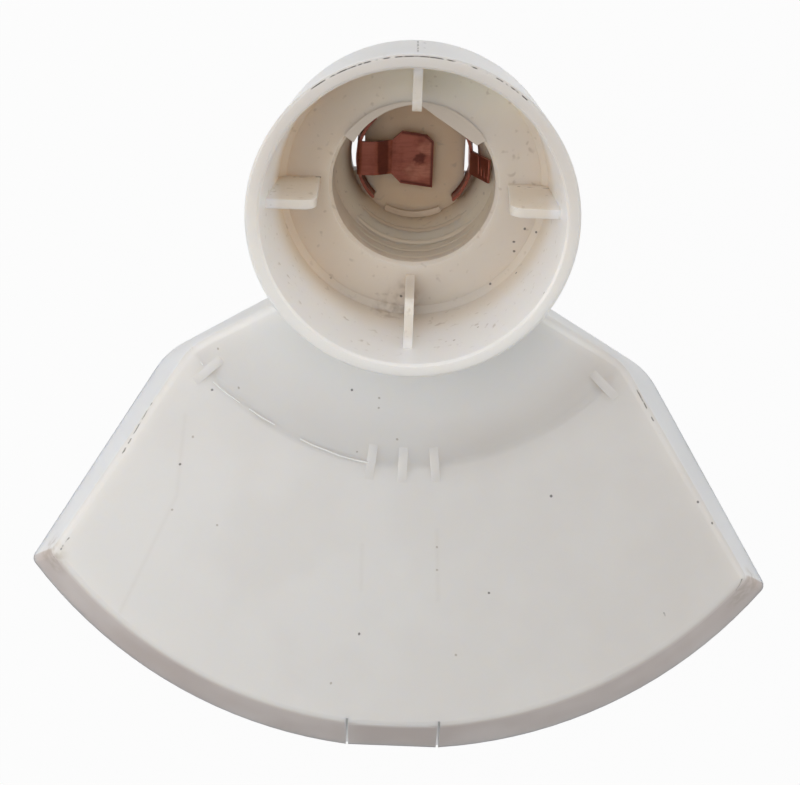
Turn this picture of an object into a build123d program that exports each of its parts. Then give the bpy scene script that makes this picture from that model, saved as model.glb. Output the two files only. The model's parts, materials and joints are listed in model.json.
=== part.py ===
from build123d import *
import math
import os

# Lamp holder of a refrigerator light, in millimetres.
# One white moulding carries a tilted cup with the lamp socket and a fan shaped cover below it.
# Two sheet metal contacts stand in the base of the socket.
# The part lies on its open back: the back rim is the plane z = 0, +Z faces out, +Y points to the cup.
# The origin is in that plane, under the middle of the part's length and width.

# Cup round the lamp, with depths measured from its rim
socket_tilt = 20.7
rim_height = 47.0
rim_forward = 6.2
rim_radius = 26.6
rim_wall = 2.3
rim_chamfer = 0.4
cup_taper = 6.5
cup_depth = 20.0
cup_floor_wall = 2.5
cup_floor_chamfer = 1.0
cup_back_chamfer = 3.0

# Guard fins inside the cup
fin_count = 4
fin_thickness = 1.5
fin_setback = 6.0
fin_tip_radius = 15.5
fin_tip_round = 2.4

# Lamp socket behind the cup floor
bore_radius = 13.5
bore_length = 9.5
mouth_chamfer = 0.6
throat_length = 9.0
base_radius = 10.9
base_thickness = 2.5
tube_wall = 2.2
stem_wall = 1.8

# Fan shaped cover, its outline measured at the back rim from the hood's axis
fan_radius = 82.8
fan_arc_forward = 13.05
apex_forward = 3.1
shoulder_half_width = 42.2
shoulder_forward = 27.8
side_splay = 31.0
front_draft = 26.5
side_draft = 16.5
shoulder_draft = 6.5
shoulder_round = 12.0
corner_round = 1.6
edge_round = 1.5
cover_wall = 2.0

# Hood and face of the cover, turned about an upright axis
hood_radius = 45.7
hood_slope = 33.0
hood_dome_radius = 80.0
hood_flat_radius = 2.129
crease_height = 14.0
crease_round = 3.0
face_slope = 5.0

# Small ribs that bridge the crease between hood and face
rib_angles = (-47.5, -6.8, 0.0, 6.8, 47.5)
rib_thickness = 1.5
rib_reach = 3.0

# Chamber round the terminals behind the socket
chamber_gap = 2.9
chamber_wall = 2.0
chamber_inset = 0.2

# Snap tab in the middle of the front wall
tab_width = 15.8
tab_slit = 0.4
tab_root = 1.2

# Sheet metal contacts and their seats in the socket base
sheet = 0.5
sheet_clearance = 0.15
bend_radius = 0.7
wing_gap = 1.15
wing_half_angle = 45.0
wing_rise = 2.8
groove_depth = 1.8
window_gap = 1.15
window_side_gap = 0.7
spade_width = 4.8
spade_length = 6.0
spade_chamfer = 0.8
spade_hole_radius = 0.7
strip_width = 5.9
strip_rise = 3.2
bridge_length = 2.6
pad_rise = 1.5
pad_width = 9.2
pad_near = 3.9
pad_far = 3.2
pad_skew = 6.0
pad_chamfer = 1.2
leaf_width = 4.0
leaf_gap = 0.7
leaf_tip_gap = 0.3
leaf_bend_gap = 0.4

# Cutting solids reach this far past the faces they open
skirt = 2.0

UPWARDS = (Align.CENTER, Align.CENTER, Align.MIN)
tilt = math.radians(socket_tilt)
taper = math.tan(math.radians(cup_taper))
front_slope = math.tan(math.radians(front_draft))
face_fall = math.tan(math.radians(face_slope))

# Radii and depths inside the cup and socket
cup_inner_radius = rim_radius - rim_wall
cup_floor_radius = cup_inner_radius - cup_depth * taper
cup_back = cup_depth + cup_floor_wall
throat_start = cup_depth + bore_length
base_front = throat_start + throat_length
base_back = base_front + base_thickness
tube_radius = bore_radius + tube_wall
stem_radius = base_radius + stem_wall
wing_radius = base_radius - wing_gap

# The widest circle at the cup's back and the flat of the snap tab are the ends of the part's length
cup_wall_depth = cup_back - cup_back_chamfer
cup_wall_radius = rim_radius - cup_wall_depth * taper
cup_top = cup_wall_depth * math.sin(tilt) + cup_wall_radius * math.cos(tilt) - rim_forward
tab_chord = fan_arc_forward + math.sqrt(fan_radius**2 - (tab_width / 2) ** 2)
hood_y = (tab_chord - cup_top) / 2

# Height of the face where it meets the front wall
front_reach = fan_arc_forward + fan_radius - hood_radius
front_height = (crease_height - front_reach * face_fall) / (1 - front_slope * face_fall)

chamber_radius = tube_radius + chamber_gap + chamber_wall
chamber_y = hood_y + cup_top - chamber_inset - chamber_radius

socket_plane = Plane(
    origin=(0, hood_y - rim_forward, rim_height),
    x_dir=(1, 0, 0),
    z_dir=(0, -math.sin(tilt), math.cos(tilt)),
)


def rounded_profile(points, rounds=()):
    """Closed outline in the XZ plane, with the corners given rounded."""
    face = make_face(Polyline(*points, close=True))
    for corner, radius in rounds:
        face = fillet(face.vertices().sort_by_distance((*corner, 0))[0], radius)
    return Plane.XZ * face


def upright_edges(solid):
    """Corner edges between the cover's walls, from the front to the back."""
    steep = solid.edges().filter_by(lambda edge: abs(edge.tangent_at(0.5).Z) > 0.5)
    return steep.sort_by(Axis.Y)


def wall_plane(side, heading, draft, inset):
    """Plane of a straight cover wall through a shoulder corner, leaning in by its draft."""
    lean = math.radians(draft)
    corner = Vector(side * shoulder_half_width, hood_y - shoulder_forward, 0)
    normal = Vector(
        side * math.cos(heading) * math.cos(lean),
        math.sin(heading) * math.cos(lean),
        math.sin(lean),
    )
    return Plane(origin=corner - normal * inset, z_dir=normal)


def fan_walls(inset):
    """Tapered solid inside the cover's walls, each wall moved in by the inset."""
    base_radius = fan_radius - inset * math.hypot(1, front_slope)
    fan = Cone(
        base_radius + skirt * front_slope,
        base_radius - rim_height * front_slope,
        rim_height + skirt,
        align=UPWARDS,
    )
    fan = Pos(0, hood_y - fan_arc_forward, -skirt) * fan
    shoulder_heading = math.atan2(shoulder_half_width, shoulder_forward - apex_forward)
    for side in (1, -1):
        fan = split(fan, wall_plane(side, math.radians(side_splay), side_draft, inset), keep=Keep.BOTTOM)
        fan = split(fan, wall_plane(side, shoulder_heading, shoulder_draft, inset), keep=Keep.BOTTOM)
    shoulders = upright_edges(fan)[2:4]
    return fillet(shoulders, shoulder_round - inset)


def crown(inset, bottom):
    """Hood dome and sloping face as one turned solid, its top moved in by the inset."""
    lean = math.radians(hood_slope)
    dome = hood_dome_radius - inset
    dome_r = hood_radius - hood_dome_radius * math.sin(lean)
    dome_z = crease_height - hood_dome_radius * math.cos(lean)
    # The dome is flat in the middle, and its arc runs from there to the crease
    top = dome_z + math.sqrt(dome**2 - (hood_flat_radius - dome_r) ** 2)
    middle = (dome_r + dome * math.sin(lean / 2), dome_z + dome * math.cos(lean / 2))
    # The face is the line z = face_z - face_fall * r, and the crease is where it leaves the dome
    face_z = crease_height + hood_radius * face_fall - inset * math.hypot(1, face_fall)
    half = dome_r + face_fall * (face_z - dome_z)
    rest = dome_r**2 + (face_z - dome_z) ** 2 - dome**2
    crease_r = (half + math.sqrt(half**2 - (1 + face_fall**2) * rest)) / (1 + face_fall**2)
    crease = (crease_r, face_z - face_fall * crease_r)
    reach = fan_arc_forward + fan_radius
    brink = (reach, face_z - face_fall * reach)
    edges = [
        Line((0, bottom), (0, top)),
        Line((0, top), (hood_flat_radius, top)),
        ThreePointArc((hood_flat_radius, top), middle, crease),
        Polyline(crease, brink, (reach, bottom), (0, bottom)),
    ]
    face = make_face(edges)
    face = fillet(face.vertices().sort_by_distance((*crease, 0))[0], crease_round + inset)
    return Pos(0, hood_y, 0) * revolve(Plane.XZ * face, Axis.Z)


def cover():
    """Closed outer body of the fan shaped cover with its corners and edges rounded."""
    outline = fan_walls(0)
    outline = fillet(upright_edges(outline)[:2], corner_round)
    top = crown(0, 0)
    body = outline & top
    edges = new_edges(outline, top, combined=body).filter_by_position(Axis.Z, edge_round, rim_height)
    return fillet(edges, edge_round)


def chamber(radius, bottom):
    """Upright round chamber behind the socket, ending inside the cup's back."""
    tower = Pos(0, chamber_y, bottom) * Cylinder(radius, 2 * rim_height, align=UPWARDS)
    return split(tower, socket_plane.offset(-cup_wall_depth), keep=Keep.BOTTOM)


def crease_rib(angle):
    """Small radial rib across the crease between hood and face."""
    inner = hood_radius - rib_reach
    outer = hood_radius + rib_reach
    low = crease_height - cover_wall
    points = [
        (inner, low),
        (inner, crease_height + rib_reach * math.tan(math.radians(hood_slope))),
        (outer, crease_height - rib_reach * face_fall),
        (outer, low),
    ]
    plate = extrude(rounded_profile(points), rib_thickness / 2, both=True)
    return Pos(0, hood_y, 0) * Rot(Z=angle - 90) * plate


def snap_tab_cuts():
    """Two slits beside the snap tab, and the slice that makes its outside flat."""
    reach = front_height * front_slope + tab_root
    slit = Box(tab_slit, reach, crease_height, align=(Align.CENTER, Align.MIN, Align.MIN))
    front = hood_y - fan_arc_forward - fan_radius
    slits = [Pos(side * tab_width / 2, front, 0) * slit for side in (1, -1)]
    flat = Plane(origin=(0, hood_y - tab_chord, 0), x_dir=(1, 0, 0), z_dir=(0, -1, front_slope))
    slice_off = flat.location * Box(tab_width, 2 * crease_height, cover_wall, align=UPWARDS)
    return slits + [slice_off]


def cup_outside():
    """Cup and socket tube as a turned solid about the socket's axis, rim at z = 0."""
    points = [
        (0, 0),
        (rim_radius - rim_chamfer, 0),
        (rim_radius - rim_chamfer * taper, -rim_chamfer),
        (cup_wall_radius, -cup_wall_depth),
        (cup_wall_radius - cup_back_chamfer, -cup_back),
        (tube_radius, -cup_back),
        (tube_radius, -throat_start),
        (stem_radius, -base_front),
        (stem_radius, -base_back),
        (0, -base_back),
    ]
    return revolve(rounded_profile(points), Axis.Z)


def cup_inside():
    """Space inside the cup, bore and throat, open past the rim."""
    points = [
        (0, rim_radius),
        (cup_inner_radius + rim_chamfer, rim_radius),
        (cup_inner_radius + rim_chamfer, 0),
        (cup_inner_radius, -rim_chamfer),
        (cup_floor_radius + cup_floor_chamfer * taper, cup_floor_chamfer - cup_depth),
        (cup_floor_radius - cup_floor_chamfer, -cup_depth),
        (bore_radius + mouth_chamfer, -cup_depth),
        (bore_radius, -cup_depth - mouth_chamfer),
        (bore_radius, -throat_start),
        (base_radius, -base_front),
        (0, -base_front),
    ]
    return revolve(rounded_profile(points), Axis.Z)


def fins(limit):
    """Guard fins round the socket mouth, cut to the cup's own walls."""
    foot = cup_depth + cup_floor_wall / 2
    root = cup_inner_radius + rim_wall / 2
    tip = (fin_tip_radius, -fin_setback)
    points = [(fin_tip_radius, -foot), tip, (root, -fin_setback), (root, -foot)]
    plate = extrude(rounded_profile(points, [(tip, fin_tip_round)]), fin_thickness / 2, both=True)
    return [Rot(Z=360 / fin_count * i) * plate & limit for i in range(fin_count)]


def wing_arc(width, start, length):
    """Curved solid along the contact wings on the +X side, from a depth behind the rim."""
    arc = CenterArc((0, 0), wing_radius, -wing_half_angle, 2 * wing_half_angle)
    return extrude(Pos(0, 0, -start) * SlotArc(arc, width), -length)


def contact_seat():
    """Window and wing groove in the socket base for the contact on the +X side."""
    height = base_thickness + 2 * skirt
    width = spade_width + 2 * window_side_gap
    window = Box(base_radius, width, height, align=(Align.MIN, Align.CENTER, Align.MAX))
    window = Pos(wing_radius - window_gap, 0, 0) * window
    window &= Cylinder(base_radius, height, align=(Align.CENTER, Align.CENTER, Align.MAX))
    groove = wing_arc(sheet + 2 * sheet_clearance, base_front - skirt, groove_depth + skirt)
    return Pos(0, 0, skirt - base_front) * window + groove


def housing():
    """White moulding: cup, socket tube, fins, hood and fan cover in one piece."""
    outside = cup_outside()
    seat = contact_seat()
    socket = outside - cup_inside() + fins(outside) - [seat, Rot(Z=180) * seat]
    shell = cover() + chamber(chamber_radius, 0) + [crease_rib(angle) for angle in rib_angles]
    shell -= fan_walls(cover_wall) & crown(cover_wall, -skirt)
    shell -= chamber(chamber_radius - chamber_wall, -skirt)
    shell -= socket_plane.location * outside
    shell -= socket_plane.location * cup_inside()
    shell -= snap_tab_cuts()
    return shell + socket_plane.location * socket


def flat_x(width):
    """Distance from the socket's axis of a flat strip that runs on from the curved wing."""
    return (wing_radius + math.sqrt(wing_radius**2 - (width / 2) ** 2)) / 2


def bent_sheet(points, width):
    """Folded strip of sheet along a side profile, centred on the XZ plane."""
    centre_line = FilletPolyline(*points, radius=bend_radius)
    section = make_face(offset(centre_line, sheet / 2, side=Side.BOTH).edges())
    return extrude(Plane.XZ * section, width / 2, both=True)


def contact_root():
    """Curved wings in the base groove and the spade terminal behind them, on the +X side."""
    wings = wing_arc(sheet, base_front - wing_rise, wing_rise + groove_depth)
    length = base_thickness + spade_length
    blade = Rectangle(length, spade_width)
    blade = chamfer(blade.vertices().sort_by(Axis.X)[-2:], spade_chamfer)
    blade -= Pos((length - spade_width) / 2) * Circle(spade_hole_radius)
    middle = (flat_x(spade_width), 0, -base_front - length / 2)
    plane = Plane(origin=middle, x_dir=(0, 0, -1), z_dir=(1, 0, 0))
    return wings + extrude(plane * blade, sheet / 2, both=True)


def pad_outline():
    """Strip and pad of the centre contact from above, the pad skewed and one far corner cut off."""
    half = pad_width / 2
    shoulder = pad_near + (strip_width - pad_width) / 2
    shift = (shoulder + pad_far) * math.tan(math.radians(pad_skew))
    points = [
        (base_radius, strip_width / 2),
        (pad_near, strip_width / 2),
        (shoulder, half),
        (-pad_far, shift + half),
        (-pad_far, shift - half + pad_chamfer),
        (pad_chamfer - pad_far, shift - half),
        (shoulder, -half),
        (pad_near, -strip_width / 2),
        (base_radius, -strip_width / 2),
    ]
    return make_face(Polyline(*points, close=True))


def centre_contact():
    """Contact whose strip bridges in from its window to the pad under the lamp's tip."""
    x = flat_x(strip_width)
    bridge = strip_rise - base_front
    level = pad_rise - base_front
    points = [
        (x, -base_front),
        (x, bridge),
        (x - bridge_length, bridge),
        (pad_near, level),
        (-pad_far, level),
    ]
    outline = extrude(pad_outline(), base_back, both=True)
    return Rot(Z=180) * (contact_root() + (bent_sheet(points, 2 * pad_width) & outline))


def side_contact():
    """Contact whose leaf leans out to the bore wall and meets the lamp's screw shell."""
    x = flat_x(leaf_width)
    tip = (bore_radius - leaf_gap - sheet / 2, -throat_start - leaf_tip_gap)
    points = [(x, -base_front), (x, wing_rise + leaf_bend_gap - base_front), tip]
    return contact_root() + bent_sheet(points, leaf_width)


parts = {
    "housing": housing(),
    "centre_contact": socket_plane.location * centre_contact(),
    "side_contact": socket_plane.location * side_contact(),
}
os.makedirs("parts", exist_ok=True)
for name, part in parts.items():
    export_step(part, f"parts/{name}.step")
    box = part.bounding_box()
    print(name, len(part.solids()), "solid,", round(part.volume), "mm3,", box.min, box.max)
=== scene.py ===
# %% [markdown]
# # A refrigerator lamp holder
# This lesson dresses the lamp holder of a refrigerator light: a white moulding with a tilted cup, a screw
# socket and a fan-shaped cover, and two copper contacts in the socket. The solids come from the packed
# frame and stay as they are. Blender adds what a mould and some years of use leave on them: the thread,
# the finish and the dirt, and with them some painted light and shade in the colours.

# %% Load the frame
import json
import math

import bmesh
import bpy
from mathutils import Matrix, Vector
from mathutils.bvhtree import BVHTree


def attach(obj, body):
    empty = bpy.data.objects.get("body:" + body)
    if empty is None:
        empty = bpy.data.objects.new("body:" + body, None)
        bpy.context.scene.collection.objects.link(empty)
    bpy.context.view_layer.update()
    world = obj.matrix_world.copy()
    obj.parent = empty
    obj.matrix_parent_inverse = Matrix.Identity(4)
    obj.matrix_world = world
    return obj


MM = 0.001
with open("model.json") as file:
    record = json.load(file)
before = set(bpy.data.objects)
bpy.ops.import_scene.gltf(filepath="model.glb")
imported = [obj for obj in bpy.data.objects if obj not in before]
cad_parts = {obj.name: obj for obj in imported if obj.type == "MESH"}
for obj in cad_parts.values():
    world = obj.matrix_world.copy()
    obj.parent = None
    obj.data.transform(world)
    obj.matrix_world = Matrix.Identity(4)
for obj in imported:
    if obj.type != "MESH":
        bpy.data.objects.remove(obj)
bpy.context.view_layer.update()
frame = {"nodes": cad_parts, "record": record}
scene = bpy.context.scene
housing = frame["nodes"]["housing"]
centre_contact = frame["nodes"]["centre_contact"]
side_contact = frame["nodes"]["side_contact"]
print("solids:", {name: len(node.data.polygons) for name, node in frame["nodes"].items()})

# %% [markdown]
# ## The camera
# The photograph looks straight down on the part as it lies on its open back. A long lens well above the
# part gives the same weak perspective. The camera comes first, because the dirt and the painted shade are
# placed by pixels of the photograph.

# %% Camera over the part
PHOTO_SIZE = Vector((800, 785))
SENSOR = 36.0
LENS = 115.2
CAMERA_PLACE = Vector((-0.95, 2.6, 450.0)) * MM
CAMERA_TURN = math.radians(2.2)

camera = bpy.data.objects.new("camera", bpy.data.cameras.new("camera"))
scene.collection.objects.link(camera)
camera.data.sensor_width = SENSOR
camera.data.lens = LENS
camera.location = CAMERA_PLACE
camera.rotation_euler = (0, 0, CAMERA_TURN)
scene.camera = camera
bpy.context.view_layer.update()
print("camera at", tuple(round(c, 4) for c in camera.location))

# %% [markdown]
# A ray through a pixel meets a solid at one point. That point is a place on the real surface, so a mark put
# there sits right from every side and not only from the camera.

# %% From a pixel to the surface
FACE_MIDDLE = (405, 600)

depsgraph = bpy.context.evaluated_depsgraph_get()
solid_trees = {name: BVHTree.FromObject(node, depsgraph) for name, node in frame["nodes"].items()}


def on_surface(pixel, node="housing"):
    """Point of a solid that a pixel of the photograph shows."""
    focal = LENS / SENSOR * PHOTO_SIZE.x
    across = (Vector(pixel) - PHOTO_SIZE / 2) / focal
    ray = camera.matrix_world.to_3x3() @ Vector((across.x, -across.y, -1))
    place = solid_trees[node].ray_cast(camera.matrix_world.translation, ray.normalized())[0]
    if place is None:
        raise ValueError(f"pixel {pixel} misses the {node}")
    return place


print("middle of the face:", tuple(round(c / MM, 1) for c in on_surface(FACE_MIDDLE)))

# %% [markdown]
# ## The socket's own frame
# The record's mount gives a point on the lamp's axis, the axis and the bore. A matrix made from them lets
# the thread be modelled upright about Z and then set into the tilted bore in one step. Three rays measure
# the rest: the base below, the wall beside the base, and the floor of the cup round the mouth.

# %% Socket frame
DOWN = (0, 0, -1)
SIDEWAYS = (0, -1, 0)
BASE_PROBE_LIFT = 0.1 * MM
FLOOR_PROBE = (12 * MM, 12 * MM, 15 * MM)

socket_mount = next(m for m in frame["record"]["mounts"] if m["name"] == "lamp_socket")
socket_axis = Vector(socket_mount["axis"]).normalized()
socket_middle = Vector(socket_mount["pos_m"])
bore_radius = socket_mount["dims"]["r_mm"] * MM
bore_end = -socket_mount["dims"]["length_mm"] * MM / 2
socket_tilt = math.atan2(-socket_axis.y, socket_axis.z)
socket_matrix = Matrix.Translation(socket_middle) @ Matrix.Rotation(socket_tilt, 4, "X")


def socket_ray(start, direction):
    """Distance from a point to the moulding in a direction, both given in the socket's frame."""
    way = socket_matrix.to_3x3() @ Vector(direction)
    return solid_trees["housing"].ray_cast(socket_matrix @ Vector(start), way)[3]


base_level = -socket_ray((0, 0, 0), DOWN)
base_radius = socket_ray((0, 0, base_level + BASE_PROBE_LIFT), SIDEWAYS)
floor_level = FLOOR_PROBE[2] - socket_ray(FLOOR_PROBE, DOWN)
levels = {"base": base_level, "cup floor": floor_level}
print("levels over the mount in mm:", {name: round(level / MM, 2) for name, level in levels.items()})

# %% [markdown]
# ## The thread
# The mould forms the screw thread as short low ribs with gaps between them where the contacts stand, so
# that the core can be drawn. A full spin would give a nut's thread. Here each rib is a small outline, spun
# through part of a turn with a step along the axis. Afterwards every point is set to its reach from the
# wall, so that the ribs can fade at their ends and follow the throat where it narrows.

# %% One curved rib
RIB_STEP = 2.5
HIDDEN = 0.1 * MM


def wall_radius(level):
    """Radius of the socket's wall at a level: a straight bore, then a throat that narrows to the base."""
    share = (bore_end - level) / (bore_end - base_level)
    return bore_radius + (base_radius - bore_radius) * min(1.0, max(0.0, share))


def curved_rib(mesh, outline, span, rise, reach):
    """Rib about Z over a span of degrees, from an outline of pairs: share of the reach, and level."""
    first, last = span
    steps = round((last - first) / RIB_STEP)
    middle = sum(level for share, level in outline) / len(outline)
    wall = wall_radius(middle)
    corners = [mesh.verts.new((wall - share * MM, 0, level - rise / 2)) for share, level in outline]
    face = mesh.faces.new(corners)
    bmesh.ops.transform(mesh, matrix=Matrix.Rotation(math.radians(first), 4, "Z"), verts=corners)
    before = set(mesh.verts) - set(corners)
    bmesh.ops.spin(mesh, geom=[face, *face.edges, *face.verts], cent=(0, 0, 0), axis=(0, 0, 1),
                   dvec=(0, 0, rise / steps), angle=math.radians(last - first), steps=steps)
    for vertex in set(mesh.verts) - before:
        flat = vertex.co.xy
        share = (wall - flat.length) / MM
        turn = math.degrees(math.atan2(flat.y, flat.x)) % 360
        if share > -HIDDEN / MM:
            own_wall = min(wall_radius(vertex.co.z), bore_radius)
            vertex.co.xy = flat.normalized() * (own_wall + HIDDEN - share * reach(turn))


print("throat narrows from", round(bore_radius / MM, 1), "to", round(base_radius / MM, 1), "mm")

# %% [markdown]
# Low round ribs lie one pitch apart, two above and four below. Their outline is a small hill with its feet
# sunk into the wall.

# %% Thread ribs
THREAD_PITCH = 3.62 * MM
RIB_HEIGHT = 0.2 * MM
RIB_HALF_WIDTH = 1.4 * MM
RIB_FADE = 25
SINK = -0.5
HILL = (
    (SINK, 1), (0, 1), (0.15, 0.75), (0.65, 0.4), (1, 0), (0.65, -0.4), (0.15, -0.75), (0, -1), (SINK, -1),
)
UPPER_SPAN = (35, 145)
UPPER_TURNS = 2
FIRST_UPPER = 0.0
LOWER_SPAN = (208, 332)
LOWER_TURNS = 4
FIRST_LOWER = 1.65 * MM


def smooth_share(value):
    """Value held between 0 and 1, with soft ends."""
    value = min(1.0, max(0.0, value))
    return value * value * (3 - 2 * value)


def thread_rib(mesh, span, level):
    """One turn of the thread over a span, sinking into the wall at its ends."""
    first, last = span
    outline = [(share, level + along * RIB_HALF_WIDTH) for share, along in HILL]
    rise = THREAD_PITCH * (last - first) / 360
    curved_rib(mesh, outline, span, rise,
               lambda turn: RIB_HEIGHT * smooth_share(min(turn - first, last - turn) / RIB_FADE))


thread_mesh = bmesh.new()
for turn in range(UPPER_TURNS):
    thread_rib(thread_mesh, UPPER_SPAN, FIRST_UPPER - turn * THREAD_PITCH)
for turn in range(LOWER_TURNS):
    thread_rib(thread_mesh, LOWER_SPAN, FIRST_LOWER - turn * THREAD_PITCH)
print("points in the ribs:", len(thread_mesh.verts))

# %% [markdown]
# At the top the rim of the mouth reaches in as a lip: along a straight chord on the right, and slowly
# further on the left. On the base stands a short square arc. Then the whole mesh is set into the bore.

# %% Lip and base arc
LIP_SPAN = (35, 146)
LIP_TOP = 90
LIP_CHORD = 11.4 * MM
LIP_CHORD_TURN = 56
LIP_REACH = 1.4 * MM
LIP_THICKNESS = 0.6 * MM
LIP_LIFT = 0.01 * MM
LIP_FOOT = -0.58
BASE_ARC_SPAN = (243, 297)
BASE_ARC_HEIGHT = 0.4 * MM
BASE_ARC_REACH = 1.1 * MM
FLAT_SHARE = 0.85
EDGE_SHARE = 0.2


def lip_reach(turn):
    """How far the lip of the mouth stands in: a chord on the right, a slow growth on the left."""
    if turn < LIP_TOP:
        return max(0.0, bore_radius - LIP_CHORD / math.cos(math.radians(turn - LIP_CHORD_TURN)))
    return LIP_REACH * (turn - LIP_TOP) / (LIP_SPAN[1] - LIP_TOP)


def square_outline(top, height, sink):
    """Outline of a rib with a flat top and a bevelled inner edge."""
    edge = EDGE_SHARE * height
    return [(sink, top), (FLAT_SHARE, top), (1, top - edge), (1, top - height), (sink, top - height)]


lip_outline = square_outline(floor_level + LIP_LIFT, LIP_THICKNESS, LIP_FOOT)
curved_rib(thread_mesh, lip_outline, LIP_SPAN, 0.0, lip_reach)
arc_outline = square_outline(base_level + BASE_ARC_HEIGHT, BASE_ARC_HEIGHT + HIDDEN, SINK)
curved_rib(thread_mesh, arc_outline, BASE_ARC_SPAN, 0.0, lambda turn: BASE_ARC_REACH)
bmesh.ops.transform(thread_mesh, matrix=socket_matrix, verts=thread_mesh.verts)
print("points with lip and arc:", len(thread_mesh.verts))

# %% [markdown]
# A piece is an object at the origin whose mesh stands where it belongs in the frame. Its faces look
# outward, and only its blunt edges are smoothed. It rides on the part's root.

# %% Pieces that ride on the part
SHARP_ANGLE = math.radians(40)
WELD_DISTANCE = 0.001 * MM


def place_piece(name, mesh):
    """Makes an object of a mesh that stands in the frame, and lets it ride on the part."""
    bmesh.ops.remove_doubles(mesh, verts=mesh.verts, dist=WELD_DISTANCE)
    bmesh.ops.recalc_face_normals(mesh, faces=mesh.faces)
    for face in mesh.faces:
        face.smooth = True
    for edge in mesh.edges:
        edge.smooth = edge.calc_face_angle(0.0) < SHARP_ANGLE
    data = bpy.data.meshes.new(name)
    mesh.to_mesh(data)
    mesh.free()
    piece = bpy.data.objects.new(name, data)
    scene.collection.objects.link(piece)
    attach(piece, "root")
    return piece


thread = place_piece("socket_thread", thread_mesh)
print("thread:", len(thread.data.polygons), "faces")

# %% [markdown]
# ## Fine ridges
# Two kinds of ridge are finer than the solids carry. The end of the side contact is knurled with a few
# cross ridges that grip the lamp's shell. Along the left half of the crease the mould has left a hair-thin
# bead, which catches the light. Both are thin round bars laid from point to point on the surface, half
# sunk into it.

# %% Bars on the surface
LEAF_RIDGES = ((478.5, 155, 174), (481.5, 156, 176), (484.5, 157.5, 178), (487.5, 158.5, 180))
LEAF_RIDGE_RADIUS = 0.14 * MM
BEAD_PATHS = (
    ((191, 349), (203, 365)),
    ((213, 382), (226, 393), (240, 403)),
    ((249, 409), (261, 417), (275, 425)),
    ((300, 439), (312, 445), (325, 450), (340, 456), (355, 460), (369, 463)),
)
BEAD_RADIUS = 0.14 * MM
BAR_SIDES = 8


def add_bar(mesh, start, end, radius):
    """Round bar between two points."""
    run = end - start
    turn = run.to_track_quat("Z", "Y").to_matrix().to_4x4()
    bmesh.ops.create_cone(mesh, cap_ends=True, segments=BAR_SIDES, radius1=radius, radius2=radius,
                          depth=run.length, matrix=Matrix.Translation((start + end) / 2) @ turn)


leaf_mesh = bmesh.new()
for x, top, bottom in LEAF_RIDGES:
    ends = [on_surface((x, y), "side_contact") for y in (top, bottom)]
    add_bar(leaf_mesh, *ends, LEAF_RIDGE_RADIUS)
leaf_ridges = place_piece("leaf_ridges", leaf_mesh)

bead_mesh = bmesh.new()
for path in BEAD_PATHS:
    points = [on_surface(pixel) for pixel in path]
    for start, end in zip(points, points[1:]):
        add_bar(bead_mesh, start, end, BEAD_RADIUS)
crease_bead = place_piece("crease_bead", bead_mesh)
print("ridges:", len(leaf_ridges.data.polygons), "and", len(crease_bead.data.polygons), "faces")

# %% [markdown]
# ## Nodes in short
# The finishes below are built from shader nodes. These helpers make a node, set or link its inputs and
# hand back its result, so that a finish reads as a list of layers. A number or colour that is the same all
# over goes straight to the shader's own socket.

# %% Node helpers
def new_material(name):
    """Node material and its Principled shader."""
    material = bpy.data.materials.new(name)
    material.use_nodes = True
    return material, material.node_tree, material.node_tree.nodes["Principled BSDF"]


def add_node(tree, kind, settings=None, inputs=None):
    """Node of a kind, with its settings and its inputs linked or set."""
    node = tree.nodes.new(kind)
    for key, value in (settings or {}).items():
        setattr(node, key, value)
    for key, value in (inputs or {}).items():
        if isinstance(value, bpy.types.NodeSocket):
            tree.links.new(value, node.inputs[key])
        else:
            node.inputs[key].default_value = value
    return node


def sums(tree, operation, *values, clamp=False):
    """Result of a math node."""
    settings = {"operation": operation, "use_clamp": clamp}
    return add_node(tree, "ShaderNodeMath", settings, dict(enumerate(values))).outputs[0]


def times(tree, first, second):
    """Product of two numbers."""
    return sums(tree, "MULTIPLY", first, second)


def vectors(tree, operation, *values):
    """Vector result of a vector math node."""
    node = add_node(tree, "ShaderNodeVectorMath", {"operation": operation}, dict(enumerate(values)))
    return node.outputs[0]


def measure(tree, operation, *values):
    """Number from a vector math node, such as a distance."""
    node = add_node(tree, "ShaderNodeVectorMath", {"operation": operation}, dict(enumerate(values)))
    return node.outputs["Value"]


def split(tree, vector):
    """The three numbers of a vector."""
    return add_node(tree, "ShaderNodeSeparateXYZ", None, {0: vector}).outputs


def ramp(tree, value, low, high, to_low=0.0, to_high=1.0):
    """Smooth step of a value between two limits."""
    settings = {"interpolation_type": "SMOOTHSTEP"}
    inputs = dict(enumerate((value, low, high, to_low, to_high)))
    return add_node(tree, "ShaderNodeMapRange", settings, inputs).outputs[0]


def noise(tree, where, scale, detail, output="Fac"):
    """Result of a noise texture."""
    inputs = {"Vector": where, "Scale": scale, "Detail": detail}
    return add_node(tree, "ShaderNodeTexNoise", None, inputs).outputs[output]


def tint(tree, amount, base, colour):
    """Base colour moved towards another by an amount."""
    node = add_node(tree, "ShaderNodeMix", {"data_type": "RGBA"}, {0: amount, 6: base, 7: colour})
    return node.outputs[2]


def on_piece(tree, output="Object"):
    """Place on the piece, or its normal, in the piece's own coordinates."""
    return add_node(tree, "ShaderNodeTexCoord").outputs[output]


def dress(piece, material):
    """Gives a piece one material."""
    if not piece.material_slots:
        piece.data.materials.append(material)
    for slot in piece.material_slots:
        slot.material = material


print("node helpers ready")
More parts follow.
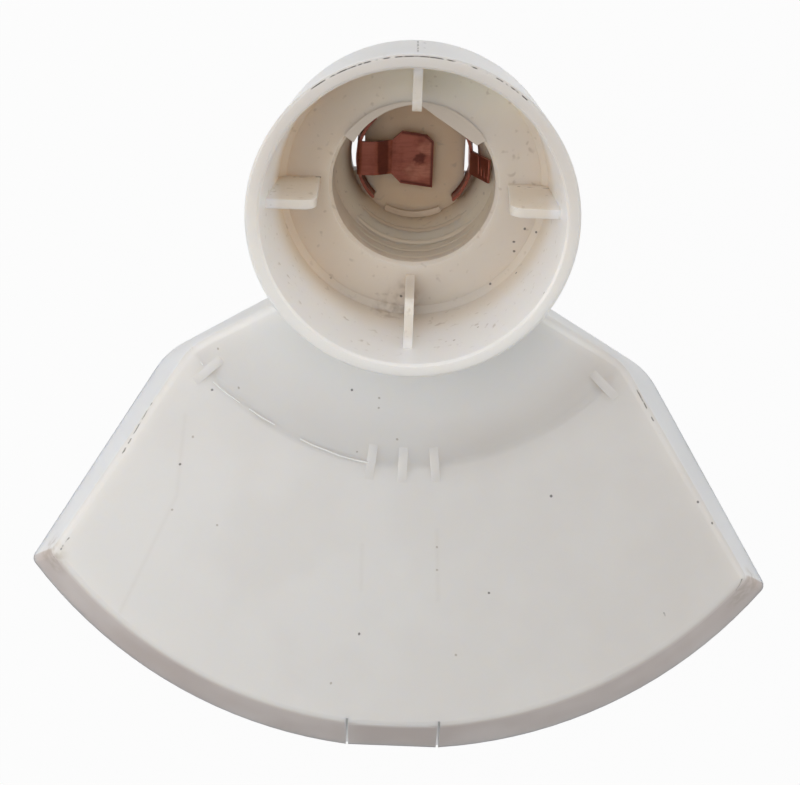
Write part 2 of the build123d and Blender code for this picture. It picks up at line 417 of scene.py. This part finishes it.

# %% [markdown]
# ## Dirt marks and painted shade
# A mark is a speck or a line on the surface. A speck is found by the distance to its point. A line is found
# by the distance to the nearest point between its two ends, which a small node group works out for every
# line.

# %% Line group
def make_line_group():
    """Node group that gives 1 on a line between two points and falls to 0 at its half width."""
    group = bpy.data.node_groups.new("dirt_and_shade_line", "ShaderNodeTree")
    for name in ("Place", "Start", "Run"):
        group.interface.new_socket(name, in_out="INPUT", socket_type="NodeSocketVector")
    for name in ("Run squared", "Half width"):
        group.interface.new_socket(name, in_out="INPUT", socket_type="NodeSocketFloat")
    group.interface.new_socket("Mask", in_out="OUTPUT", socket_type="NodeSocketFloat")
    place, start, run, run_squared, half_width = group.nodes.new("NodeGroupInput").outputs[:5]
    offset = vectors(group, "SUBTRACT", place, start)
    share = sums(group, "DIVIDE", measure(group, "DOT_PRODUCT", offset, run), run_squared, clamp=True)
    inputs = {0: run, "Scale": share}
    foot = add_node(group, "ShaderNodeVectorMath", {"operation": "SCALE"}, inputs).outputs[0]
    gap = sums(group, "DIVIDE", measure(group, "DISTANCE", offset, foot), half_width)
    mask = sums(group, "SUBTRACT", 1.0, gap, clamp=True)
    group.links.new(mask, group.nodes.new("NodeGroupOutput").inputs[0])
    return group


line_group = make_line_group()
print("line group has", len(line_group.nodes), "nodes")

# %% [markdown]
# Two helpers join many marks into one mask. The first lays a line along each path of pixels. The second
# puts a soft spot on each pixel. Both turn the pixels into points on the solid first.

# %% Marks on the surface
SPOT_CORE = 0.4


def line_marks(tree, where, paths, half_width, node="housing"):
    """Union of the lines along paths of pixels."""
    total = None
    for path in paths:
        points = [on_surface(pixel, node) for pixel in path]
        for start, end in zip(points, points[1:]):
            run = end - start
            inputs = {"Place": where, "Start": start, "Run": run, "Run squared": run.length_squared,
                      "Half width": half_width}
            mask = add_node(tree, "ShaderNodeGroup", {"node_tree": line_group}, inputs).outputs[0]
            total = mask if total is None else sums(tree, "MAXIMUM", total, mask)
    return total


def spot_marks(tree, where, pixels, radius, node="housing"):
    """Soft round spots at pixels, by the distance to the nearest one."""
    nearest = None
    for pixel in pixels:
        gap = measure(tree, "DISTANCE", where, on_surface(pixel, node))
        nearest = gap if nearest is None else sums(tree, "MINIMUM", nearest, gap)
    return ramp(tree, nearest, radius, SPOT_CORE * radius)


print("marks ready")

# %% [markdown]
# The places below were read off the photograph: dashes of dirt along the ridges of the cover and on the
# guard fins, faint lines of painted shade on the face, a band of painted shade along the crease, single
# specks, brown corners, and a stain in the cup.

# %% Where the dirt and the painted shade are
DARK_DASHES = (
    ((152, 403), (137, 428), (123, 453)), ((69, 538), (61, 549), (54, 557)), ((637, 390), (660, 433)),
    ((742, 579), (735, 592)), ((664, 613), (675, 646)), ((518, 186.5), (549, 188.5)),
    ((294, 177), (320, 177)), ((418, 41), (418, 52)),
)
# Painted shade: faint darker lines on the face.
SHADE_LINES = (((362, 545), (361, 590)), ((437, 530), (438, 600)), ((185, 415), (177, 495), (120, 612)))
# Painted shade: a soft band along the right half of the crease.
CREASE_SHADE = (((455, 452), (530, 425), (597, 368)),)
DARK_SPECKS = (
    (180, 464), (212, 390), (401, 296), (490, 284), (514, 242), (514, 251), (516, 273), (551, 496),
    (489, 593), (359, 634), (425, 43), (425, 48), (352, 390), (698, 502), (712, 523), (525, 229),
    (536, 232),
)
FAINT_SPECKS = (
    (193, 437), (172, 510), (217, 525), (218, 349), (239, 388), (379, 398), (379, 408), (357, 452),
    (397, 439), (456, 655), (331, 278), (277, 234), (454, 340), (478, 327), (544, 293), (331, 683),
    (437, 547), (437, 570),
)
CORNER_STAINS = ((50, 556), (745, 590))
CUP_STAINS = ((398, 303), (388, 312), (404, 296))
print(len(DARK_SPECKS) + len(FAINT_SPECKS), "specks,", len(DARK_DASHES), "dashes")

# %% [markdown]
# ## White plastic
# The moulding is an off-white plastic with a satin skin. It is milky: some light goes a few millimetres
# into the walls and comes out again, so a subsurface share softens the ribs and fins and lets the thin cup
# glow. The cup yellows the deeper it goes, as from the lamp's heat, and parts of it carry painted light and
# painted shade. The front wall carries a grey-brown tint that is mostly painted shade and partly dirt. All
# of it is worked out from places and normals of the part itself, so it needs no image and stays put seen
# from behind.

# %% Where the plastic has aged
RIM_LEVEL = 25.05 * MM
CUP_WALL_RADIUS = 25.4
CUP_TAPER = math.tan(math.radians(6.5))
RIM_EDGE_RADIUS = 26.25
RIM_EDGE_FADE = (0.12, 0.03)
RIM_EDGE_LOWEST = -0.4
RIM_DIRT_FROM = 20.0
FAN_CENTRE = Vector((0, 22.94, 0)) * MM
FRONT_EDGE = (77.4 * MM, 78.4 * MM)
FRONT_FACING = (0.45, 0.6)
FLATTEN = (1, 1, 0)


def in_socket_frame(tree, place):
    """Height over the rim, place up the picture and distance from the axis, in millimetres."""
    middle = socket_middle + socket_axis * RIM_LEVEL
    inputs = {"Vector": place, "Location": middle, "Rotation": (socket_tilt, 0, 0), "Scale": (MM,) * 3}
    local = add_node(tree, "ShaderNodeMapping", {"vector_type": "TEXTURE"}, inputs).outputs[0]
    upward, height = split(tree, local)[1:3]
    return height, upward, measure(tree, "LENGTH", vectors(tree, "MULTIPLY", local, FLATTEN))


def depth_in_cup(tree, socket_place):
    """Depth below the rim inside the cup, in millimetres, and 0 outside it."""
    height, _, radius = socket_place
    wall = sums(tree, "ADD", CUP_WALL_RADIUS, times(tree, height, CUP_TAPER))
    return times(tree, times(tree, height, -1.0), sums(tree, "LESS_THAN", radius, wall))


def rim_edge(tree, socket_place):
    """1 on the outer edge of the rim, along its upper part."""
    height, upward, radius = socket_place
    gap = sums(tree, "ABSOLUTE", sums(tree, "SUBTRACT", radius, RIM_EDGE_RADIUS))
    ring = ramp(tree, gap, *RIM_EDGE_FADE)
    ring = times(tree, ring, sums(tree, "GREATER_THAN", upward, RIM_DIRT_FROM))
    return times(tree, ring, sums(tree, "GREATER_THAN", height, RIM_EDGE_LOWEST))


def front_wall(tree, place):
    """1 on the curved front wall of the cover, which faces away from the centre of the fan."""
    flat = vectors(tree, "MULTIPLY", vectors(tree, "SUBTRACT", place, FAN_CENTRE), FLATTEN)
    outward = vectors(tree, "NORMALIZE", flat)
    facing = ramp(tree, measure(tree, "DOT_PRODUCT", outward, on_piece(tree, "Normal")), *FRONT_FACING)
    return times(tree, ramp(tree, measure(tree, "LENGTH", flat), *FRONT_EDGE), facing)


print("ageing masks ready")

# %% [markdown]
# Outside the cup the white grows darker towards the right, which is painted shade, and duller in soft
# patches. Upright walls, the hood and the cup are paler, which is painted light, and the upper half of the
# rim is greyer, which is painted shade. The numbers are limits of smooth steps: first where a layer starts
# and ends, and then, for some, how strong it is at each.

# %% Plastic outside the cup
PLASTIC_WHITE = (0.825, 0.787, 0.748, 1)
PLASTIC_DULL = (0.70, 0.66, 0.625, 1)
# Painted light: paler on upright walls and round the cup.
PLASTIC_LIT_PALE = (0.93, 0.90, 0.88, 1)
# Painted light: the hood lighter beside the cup.
PLASTIC_HOOD_LIT = (0.95, 0.885, 0.83, 1)
PLASTIC_RIM = (0.885, 0.845, 0.80, 1)
# Grey-brown of the front wall: mostly painted shade, partly dirt.
FRONT_SHADE_AND_DIRT = (0.54, 0.46, 0.425, 1)
# Painted shade: darker towards the right.
SHADE_TOWARDS_RIGHT = (0.0, 50 * MM, 0.0, 0.35)
DULL_PATCHES = (0.4, 0.65, 0.0, 0.2)
UPRIGHT_WALLS = (0.6, 0.4)
HOOD_RADII = (50.0, 32.0)
CUP_RADII = (28.0, 26.8)
RIM_HEIGHTS = (-0.6, -0.2)
RIM_SHADE = (-20.0, 15.0)
FRONT_TINT_PATCHES = (0.3, 0.7, 0.8, 1.0)


def outside_colour(tree, place, socket_place, mottle):
    """Colour of the clean plastic outside the cup, with its painted light and painted shade."""
    height, upward, radius = socket_place
    across = split(tree, place)[0]
    # Painted shade towards the right, with duller patches of the plastic's own tone.
    dull = sums(tree, "ADD", ramp(tree, across, *SHADE_TOWARDS_RIGHT), ramp(tree, mottle, *DULL_PATCHES))
    colour = tint(tree, dull, PLASTIC_WHITE, PLASTIC_DULL)
    level = split(tree, on_piece(tree, "Normal"))[2]
    # Painted light on upright walls, on the hood and round the cup.
    colour = tint(tree, ramp(tree, level, *UPRIGHT_WALLS), colour, PLASTIC_LIT_PALE)
    colour = tint(tree, ramp(tree, radius, *HOOD_RADII), colour, PLASTIC_HOOD_LIT)
    colour = tint(tree, ramp(tree, radius, *CUP_RADII), colour, PLASTIC_LIT_PALE)
    # Painted shade on the upper half of the rim.
    rim = tint(tree, ramp(tree, upward, *RIM_SHADE), PLASTIC_RIM, PLASTIC_DULL)
    return tint(tree, ramp(tree, height, *RIM_HEIGHTS), colour, rim)


def front_shade_and_dirt_colour(tree, place, colour, mottle):
    """Colour with the grey-brown tint on the front wall laid over it: mostly painted shade, partly dirt."""
    # Painted shade on the front wall, broken into patches like dirt.
    front_tint = times(tree, front_wall(tree, place), ramp(tree, mottle, *FRONT_TINT_PATCHES))
    return tint(tree, front_tint, colour, FRONT_SHADE_AND_DIRT)


print("plastic outside", PLASTIC_WHITE[:3])

# %% [markdown]
# Inside the cup the colour follows the depth below the rim, from aged at the wall through warm on the floor
# to burnt at the base: yellowing, with painted light in the lighter warm floor and painted shade at the
# base. The guard fins are darkened all over as painted shade. The upper wall is paler, which is painted
# light, and the left of the floor is darker, which is painted shade.

# %% Plastic in the cup
# Aged tone of the cup wall, also the painted shade of the fins.
PLASTIC_AGED_AND_SHADED = (0.79, 0.715, 0.635, 1)
PLASTIC_WARM = (0.93, 0.815, 0.67, 1)
PLASTIC_BURNT_AND_SHADED = (0.70, 0.55, 0.40, 1)
PLASTIC_UPPER_LIT = (0.95, 0.87, 0.76, 1)
PLASTIC_SHADY = (0.74, 0.64, 0.53, 1)
# Yellowing with depth, with painted light on the floor and painted shade at the base.
AGEING_LIGHT_AND_SHADE = (((10.0, 20.0), PLASTIC_AGED_AND_SHADED), ((20.0, 26.0), PLASTIC_WARM), ((33.0, 39.0), PLASTIC_BURNT_AND_SHADED))
FIN_RADII = (23.0, 21.0)
FIN_TOP = 1.0
FIN_FEET = (18.5, 17.0)
UPPER_SIDE = (8.0, 18.0)
UPPER_DEPTHS = (6.0, 12.0)
LEFT_SIDE = (2 * MM, -18 * MM)
LEFT_DEPTHS = (15.0, 20.0)
LEFT_END = (33.0, 28.0)


def cup_colour(tree, place, socket_place, depth, colour):
    """Colour with the yellowing in the cup laid over it, and painted light and shade on the fins and walls.
    """
    _, upward, radius = socket_place
    # Painted shade: the guard fins darker all over.
    fins = times(tree, ramp(tree, radius, *FIN_RADII), sums(tree, "GREATER_THAN", depth, FIN_TOP))
    colour = tint(tree, times(tree, fins, ramp(tree, depth, *FIN_FEET)), colour, PLASTIC_AGED_AND_SHADED)
    for depths, aged in AGEING_LIGHT_AND_SHADE:
        colour = tint(tree, ramp(tree, depth, *depths), colour, aged)
    # Painted light on the upper wall.
    upper = times(tree, ramp(tree, upward, *UPPER_SIDE), ramp(tree, depth, *UPPER_DEPTHS))
    colour = tint(tree, upper, colour, PLASTIC_UPPER_LIT)
    # Painted shade on the left of the floor.
    left = times(tree, ramp(tree, split(tree, place)[0], *LEFT_SIDE), ramp(tree, depth, *LEFT_DEPTHS))
    return tint(tree, times(tree, left, ramp(tree, depth, *LEFT_END)), colour, PLASTIC_SHADY)


print("plastic in the cup", PLASTIC_AGED_AND_SHADED[:3], "to", PLASTIC_BURNT_AND_SHADED[:3])

# %% [markdown]
# Dirt and painted shade come last. One fine noise breaks the dashes, clumps the stains, scatters the dust
# in the cup and shakes the places of the specks, so that none of them is a clean shape.

# %% Plastic dirt and painted shade
DIRT_DARK = (0.08, 0.07, 0.06, 1)
# Brown for dust, stains and specks, and for the painted shade lines and the painted crease shade.
DIRT_AND_SHADE_BROWN = (0.36, 0.29, 0.22, 1)
GRIT_SCALE = 800.0
GRIT_DETAIL = 1.0
GRIT_MIDDLE = (0.5, 0.5, 0.5)
GRIT_SHAKE = 0.3 * MM
DUST_DEPTHS = (0.5, 6.0)
DUST_GRAINS = (0.64, 0.8, 0.0, 0.35)
CUP_STAIN_RADIUS = 3.5 * MM
CORNER_STAIN_RADIUS = 5 * MM
STAIN_PATCHES = (0.35, 0.65, 0.1, 0.45)
SHADE_LINE_WIDTH, SHADE_LINE_SHARE = 0.6 * MM, 0.06
CREASE_SHADE_WIDTH, CREASE_SHADE_SHARE = 7 * MM, 0.12
FAINT_SPECK_RADIUS, FAINT_SPECK_SHARE = 0.28 * MM, 0.6
DARK_SPECK_RADIUS, DARK_SPECK_SHARE = 0.3 * MM, 0.85
DASH_WIDTH = 0.2 * MM
DASH_BREAKS = (0.4, 0.56)


def plastic_dirt_and_shade(tree, place, socket_place, depth, colour):
    """Colour with dust, stains, painted shade lines, painted crease shade, dashes and specks laid over it.
    """
    grit = noise(tree, place, GRIT_SCALE, GRIT_DETAIL, "Color")
    coarse, fine, rare = add_node(tree, "ShaderNodeSeparateColor", None, {0: grit}).outputs[:3]
    shift = vectors(tree, "MULTIPLY", vectors(tree, "SUBTRACT", grit, GRIT_MIDDLE), (GRIT_SHAKE,) * 3)
    loose = vectors(tree, "ADD", place, shift)
    dust = times(tree, ramp(tree, depth, *DUST_DEPTHS), ramp(tree, rare, *DUST_GRAINS))
    stains = spot_marks(tree, place, CUP_STAINS, CUP_STAIN_RADIUS)
    corners = spot_marks(tree, place, CORNER_STAINS, CORNER_STAIN_RADIUS)
    stains = times(tree, sums(tree, "MAXIMUM", stains, corners), ramp(tree, coarse, *STAIN_PATCHES))
    # Painted shade: faint lines on the face.
    lines = times(tree, line_marks(tree, place, SHADE_LINES, SHADE_LINE_WIDTH), SHADE_LINE_SHARE)
    # Painted shade along the crease.
    crease = times(tree, line_marks(tree, place, CREASE_SHADE, CREASE_SHADE_WIDTH), CREASE_SHADE_SHARE)
    faint = times(tree, spot_marks(tree, loose, FAINT_SPECKS, FAINT_SPECK_RADIUS), FAINT_SPECK_SHARE)
    for amount in (dust, stains, lines, crease, faint):
        colour = tint(tree, amount, colour, DIRT_AND_SHADE_BROWN)
    dashes = line_marks(tree, loose, DARK_DASHES, DASH_WIDTH)
    dashes = sums(tree, "MAXIMUM", dashes, rim_edge(tree, socket_place))
    dashes = times(tree, dashes, ramp(tree, fine, *DASH_BREAKS))
    specks = times(tree, spot_marks(tree, loose, DARK_SPECKS, DARK_SPECK_RADIUS), DARK_SPECK_SHARE)
    return tint(tree, sums(tree, "MAXIMUM", dashes, specks), colour, DIRT_DARK)


print("dirt layers ready")

# %% [markdown]
# The layers meet in three materials. The moulding is milky and carries them all. The ribs of the thread are
# too thin for that, so they get plain colours that match the wall behind them, painted light and shade
# included. The bead is whiter than the plastic, which is a painted highlight.

# %% Plastic materials
MOTTLE_SCALE = 60.0
MOTTLE_DETAIL = 2.0
GLOSS = (0.3, 0.7, 0.28, 0.38)
MILKY_RADIUS = (1.0, 0.9, 0.75)
MILKY_SCALE = 4.0 * MM
# Colours that match the wall behind, with its painted light and shade: the lip and lower ribs darker.
LIP_COLOUR = (0.705, 0.63, 0.545, 1)
THREAD_UPPER = (0.83, 0.755, 0.63, 1)
THREAD_LOWER = (0.555, 0.425, 0.30, 1)
UPPER_THREAD_DEPTHS = (21.0, 22.5)
LOWER_THREAD_DEPTHS = (30.0, 39.0)
# Painted highlight: the bead whiter than the plastic round it.
BEAD_HIGHLIGHT_WHITE = (0.93, 0.92, 0.90, 1)
BEAD_ROUGHNESS = 0.25


def soft_patches(tree, place):
    """Soft patches that the colour and the gloss share."""
    return noise(tree, place, MOTTLE_SCALE, MOTTLE_DETAIL)


def satin_gloss(tree, shader, mottle):
    """Satin gloss that wanders a little."""
    tree.links.new(ramp(tree, mottle, *GLOSS), shader.inputs["Roughness"])


def white_plastic():
    """Milky off-white plastic with its age and dirt, and with painted light and shade in its colour."""
    material, tree, shader = new_material("white_plastic")
    place = on_piece(tree)
    mottle = soft_patches(tree, place)
    socket_place = in_socket_frame(tree, place)
    depth = depth_in_cup(tree, socket_place)
    colour = outside_colour(tree, place, socket_place, mottle)
    colour = cup_colour(tree, place, socket_place, depth, colour)
    colour = front_shade_and_dirt_colour(tree, place, colour, mottle)
    tree.links.new(plastic_dirt_and_shade(tree, place, socket_place, depth, colour), shader.inputs["Base Color"])
    shader.inputs["Subsurface Weight"].default_value = 1.0
    shader.inputs["Subsurface Radius"].default_value = MILKY_RADIUS
    shader.inputs["Subsurface Scale"].default_value = MILKY_SCALE
    satin_gloss(tree, shader, mottle)
    return material


def thread_plastic():
    """The plastic of the low ribs, which are too thin to let light wander."""
    material, tree, shader = new_material("thread_plastic")
    place = on_piece(tree)
    depth = depth_in_cup(tree, in_socket_frame(tree, place))
    colour = tint(tree, ramp(tree, depth, *UPPER_THREAD_DEPTHS), LIP_COLOUR, THREAD_UPPER)
    colour = tint(tree, ramp(tree, depth, *LOWER_THREAD_DEPTHS), colour, THREAD_LOWER)
    tree.links.new(colour, shader.inputs["Base Color"])
    satin_gloss(tree, shader, soft_patches(tree, place))
    return material


def bead_plastic():
    """Whiter plastic of the raised bead, a painted highlight along the crease."""
    material, _, shader = new_material("bead_plastic")
    shader.inputs["Base Color"].default_value = BEAD_HIGHLIGHT_WHITE
    shader.inputs["Roughness"].default_value = BEAD_ROUGHNESS
    return material


plastic = white_plastic()
dress(housing, plastic)
dress(thread, thread_plastic())
dress(crease_bead, bead_plastic())
print("white plastic:", len(plastic.node_tree.nodes), "nodes")

# %% [markdown]
# ## Copper contacts
# The contacts are stamped from dull copper-coloured sheet. The metal has a fine rolling grain and soft
# tarnish. The cut edges and the bend beside the pad are darkened as painted shade, bright patches on the
# pad are painted highlights, and the tip of the lamp has scuffed the middle of the pad.

# %% Marks on the copper
COPPER_WORN = (0.36, 0.12, 0.085, 1)
# Painted highlight colour of the pad.
COPPER_HIGHLIGHT = (0.52, 0.22, 0.15, 1)
# Tarnish, also the painted shade of the pad's edges and bend.
COPPER_TARNISH_AND_SHADE = (0.085, 0.022, 0.018, 1)
# Painted shade along the cut edges of the pad.
PAD_EDGE_SHADE = (((403, 132.5), (425, 135.5), (432.5, 142.5), (431, 186), (401.5, 181)),)
PAD_EDGE_WIDTH, PAD_EDGE_SHARE = 0.4 * MM, 0.9
# Painted shade on the bend beside the pad.
PAD_BEND = (((383, 143), (383, 170)),)
PAD_BEND_WIDTH, PAD_BEND_SHADE = 1.3 * MM, (0.0, 0.4, 0.0, 0.75)
PAD_SCUFFS = ((417, 159), (422, 157))
PAD_SCUFF_RADIUS, PAD_SCUFF_SHARE = 1.1 * MM, 0.7
# Painted highlights on the pad.
PAD_HIGHLIGHTS = ((425, 170), (413, 172), (427, 148))
PAD_GLINT_RADIUS, PAD_GLINT_SHARE = 2.0 * MM, 0.6
WANDER_SCALE, WANDER_DETAIL, WANDER_REACH = 900.0, 2.0, 1 * MM
PATCH_TARNISH = (0.4, 0.75, 0.0, 0.45)
GRAIN_TARNISH = (0.4, 0.7, 0.0, 0.2)


def copper_colour(tree, place, patches, grain):
    """Colour of the sheet with tarnish and scuffs, painted highlights, and painted shade at the edges and
    bend.
    """
    pad = "centre_contact"
    # Painted shade on the cut edges and on the bend.
    edges = times(tree, line_marks(tree, place, PAD_EDGE_SHADE, PAD_EDGE_WIDTH, pad), PAD_EDGE_SHARE)
    bend = ramp(tree, line_marks(tree, place, PAD_BEND, PAD_BEND_WIDTH, pad), *PAD_BEND_SHADE)
    wander = noise(tree, place, WANDER_SCALE, WANDER_DETAIL, "Color")
    wander = vectors(tree, "MULTIPLY", wander, (2 * WANDER_REACH,) * 3)
    loose = vectors(tree, "SUBTRACT", vectors(tree, "ADD", place, wander), (WANDER_REACH,) * 3)
    scuffs = times(tree, spot_marks(tree, loose, PAD_SCUFFS, PAD_SCUFF_RADIUS, pad), PAD_SCUFF_SHARE)
    # Painted highlights on the pad.
    highlights = times(tree, spot_marks(tree, loose, PAD_HIGHLIGHTS, PAD_GLINT_RADIUS, pad), PAD_GLINT_SHARE)
    colour = tint(tree, highlights, COPPER_WORN, COPPER_HIGHLIGHT)
    tarnish = (ramp(tree, patches, *PATCH_TARNISH), ramp(tree, grain, *GRAIN_TARNISH))
    for amount in (*tarnish, edges, bend, scuffs):
        colour = tint(tree, amount, colour, COPPER_TARNISH_AND_SHADE)
    return colour


print("copper", COPPER_WORN[:3])

# %% [markdown]
# The grain is a noise drawn out along the strips. It roughens the surface a little as well.

# %% Copper sheet
GRAIN_STRETCH = (400, 3000, 3000)
GRAIN_SCALE, GRAIN_DETAIL = 1.0, 3.0
PATCH_SCALE, PATCH_DETAIL = 420.0, 4.0
COPPER_GLOSS = (0.35, 0.7, 0.36, 0.52)
GRAIN_BUMP = {"Strength": 0.35, "Distance": 0.05 * MM}


def copper_sheet():
    """Dull rolled copper alloy with tarnish."""
    material, tree, shader = new_material("copper_sheet")
    place = on_piece(tree)
    grain = noise(tree, vectors(tree, "MULTIPLY", place, GRAIN_STRETCH), GRAIN_SCALE, GRAIN_DETAIL)
    patches = noise(tree, place, PATCH_SCALE, PATCH_DETAIL)
    tree.links.new(copper_colour(tree, place, patches, grain), shader.inputs["Base Color"])
    shader.inputs["Metallic"].default_value = 1.0
    tree.links.new(ramp(tree, patches, *COPPER_GLOSS), shader.inputs["Roughness"])
    bump = add_node(tree, "ShaderNodeBump", None, {**GRAIN_BUMP, "Height": grain})
    tree.links.new(bump.outputs[0], shader.inputs["Normal"])
    return material


copper = copper_sheet()
for piece in (centre_contact, side_contact, leaf_ridges):
    dress(piece, copper)
print("copper sheet:", len(copper.node_tree.nodes), "nodes")

# %% [markdown]
# ## Floor and light
# The part lies on a plain pale floor. The floor shows white to the camera, and a share of plain diffuse
# keeps the part's shadow on it. Under the snap tab, where its slits look through, the floor lies in shade.

# %% Floor
FLOOR_WHITE = (1, 1, 1, 1)
FLOOR_GREY = (0.4, 0.4, 0.4, 1)
FLOOR_REACH = 4.0
FLOOR_GAP = 0.05 * MM
FLOOR_SHADOW = 0.04
TAB_REACH = 9.0 * MM
TAB_EDGE_RADIUS = 82.4 * MM
TAB_FOOT_RADIUS = 78.5 * MM
TAB_FRONT = -TAB_FOOT_RADIUS / 2
TAB_SHADE = (0.7, 0.45)


def under_tab(tree, place):
    """Shade on the floor under the snap tab, deepest behind the front wall."""
    radius = measure(tree, "LENGTH", vectors(tree, "SUBTRACT", place, FAN_CENTRE))
    across, along = split(tree, place)[:2]
    shade = ramp(tree, radius, TAB_FOOT_RADIUS, TAB_EDGE_RADIUS, *TAB_SHADE)
    aside = sums(tree, "ABSOLUTE", across)
    for value, limit in ((radius, TAB_EDGE_RADIUS), (aside, TAB_REACH), (along, TAB_FRONT)):
        shade = times(tree, shade, sums(tree, "LESS_THAN", value, limit))
    return shade


def floor_material():
    """Pale floor that shows white to the camera and keeps a soft shadow."""
    material = bpy.data.materials.new("studio_floor")
    material.use_nodes = True
    tree = material.node_tree
    tree.nodes.clear()
    diffuse = add_node(tree, "ShaderNodeBsdfDiffuse", None, {"Color": FLOOR_GREY}).outputs[0]
    glow = add_node(tree, "ShaderNodeEmission", None, {"Color": FLOOR_WHITE, "Strength": 1.0}).outputs[0]
    path = add_node(tree, "ShaderNodeLightPath").outputs
    seen = sums(tree, "MAXIMUM", path["Is Camera Ray"], path["Is Glossy Ray"])
    seen = sums(tree, "MAXIMUM", seen, path["Is Transmission Ray"])
    lit = sums(tree, "SUBTRACT", 1 - FLOOR_SHADOW, under_tab(tree, on_piece(tree)), clamp=True)
    share = times(tree, seen, lit)
    surface = add_node(tree, "ShaderNodeMixShader", None, {0: share, 1: diffuse, 2: glow}).outputs[0]
    add_node(tree, "ShaderNodeOutputMaterial", None, {"Surface": surface})
    return material


floor_mesh = bmesh.new()
bmesh.ops.create_grid(floor_mesh, x_segments=1, y_segments=1, size=FLOOR_REACH / 2,
                      matrix=Matrix.Translation((0, 0, -FLOOR_GAP)))
floor_data = bpy.data.meshes.new("studio_floor")
floor_mesh.to_mesh(floor_data)
floor_mesh.free()
floor = bpy.data.objects.new("studio_floor", floor_data)
scene.collection.objects.link(floor)
dress(floor, floor_material())
print("floor", FLOOR_REACH, "m wide")

# %% [markdown]
# Soft lamps in a bright room light the part. A far one and a low near one stand on the right. The other
# near ones stand low on the left, high on the left and behind the top of the picture, so that the left of
# the face is the brightest and the front wall, which no lamp faces, is the darkest.

# %% Lamps and world
FAR = {"distance": 1.2, "size": 0.8}
NEAR = {"distance": 0.5, "size": 0.35}
ROOM_WHITE = (1, 1, 1, 1)
ROOM_LIGHT = 0.32


def soft_lamp(name, turn, rise, power, distance, size):
    """Square area lamp that points at the part, from a turn about Z and a rise over the floor."""
    turn, rise = math.radians(turn), math.radians(rise)
    away = Vector((math.cos(turn) * math.cos(rise), math.sin(turn) * math.cos(rise), math.sin(rise)))
    lamp = bpy.data.objects.new(name, bpy.data.lights.new(name, "AREA"))
    scene.collection.objects.link(lamp)
    lamp.data.size = size
    lamp.data.energy = power
    lamp.location = away * distance
    lamp.rotation_euler = (-away).to_track_quat("-Z", "Y").to_euler()


soft_lamp("lamp_right", 0, 40, 2.2, **FAR)
soft_lamp("lamp_low", 0, 20, 0.32, **NEAR)
soft_lamp("lamp_left", 180, 20, 0.8, **NEAR)
soft_lamp("lamp_top", 90, 45, 0.43, **NEAR)
soft_lamp("lamp_over", 180, 70, 0.67, **NEAR)

world = bpy.data.worlds.new("studio")
scene.world = world
world.use_nodes = True
world.node_tree.nodes["Background"].inputs["Color"].default_value = ROOM_WHITE
world.node_tree.nodes["Background"].inputs["Strength"].default_value = ROOM_LIGHT
scene.view_settings.view_transform = "Standard"
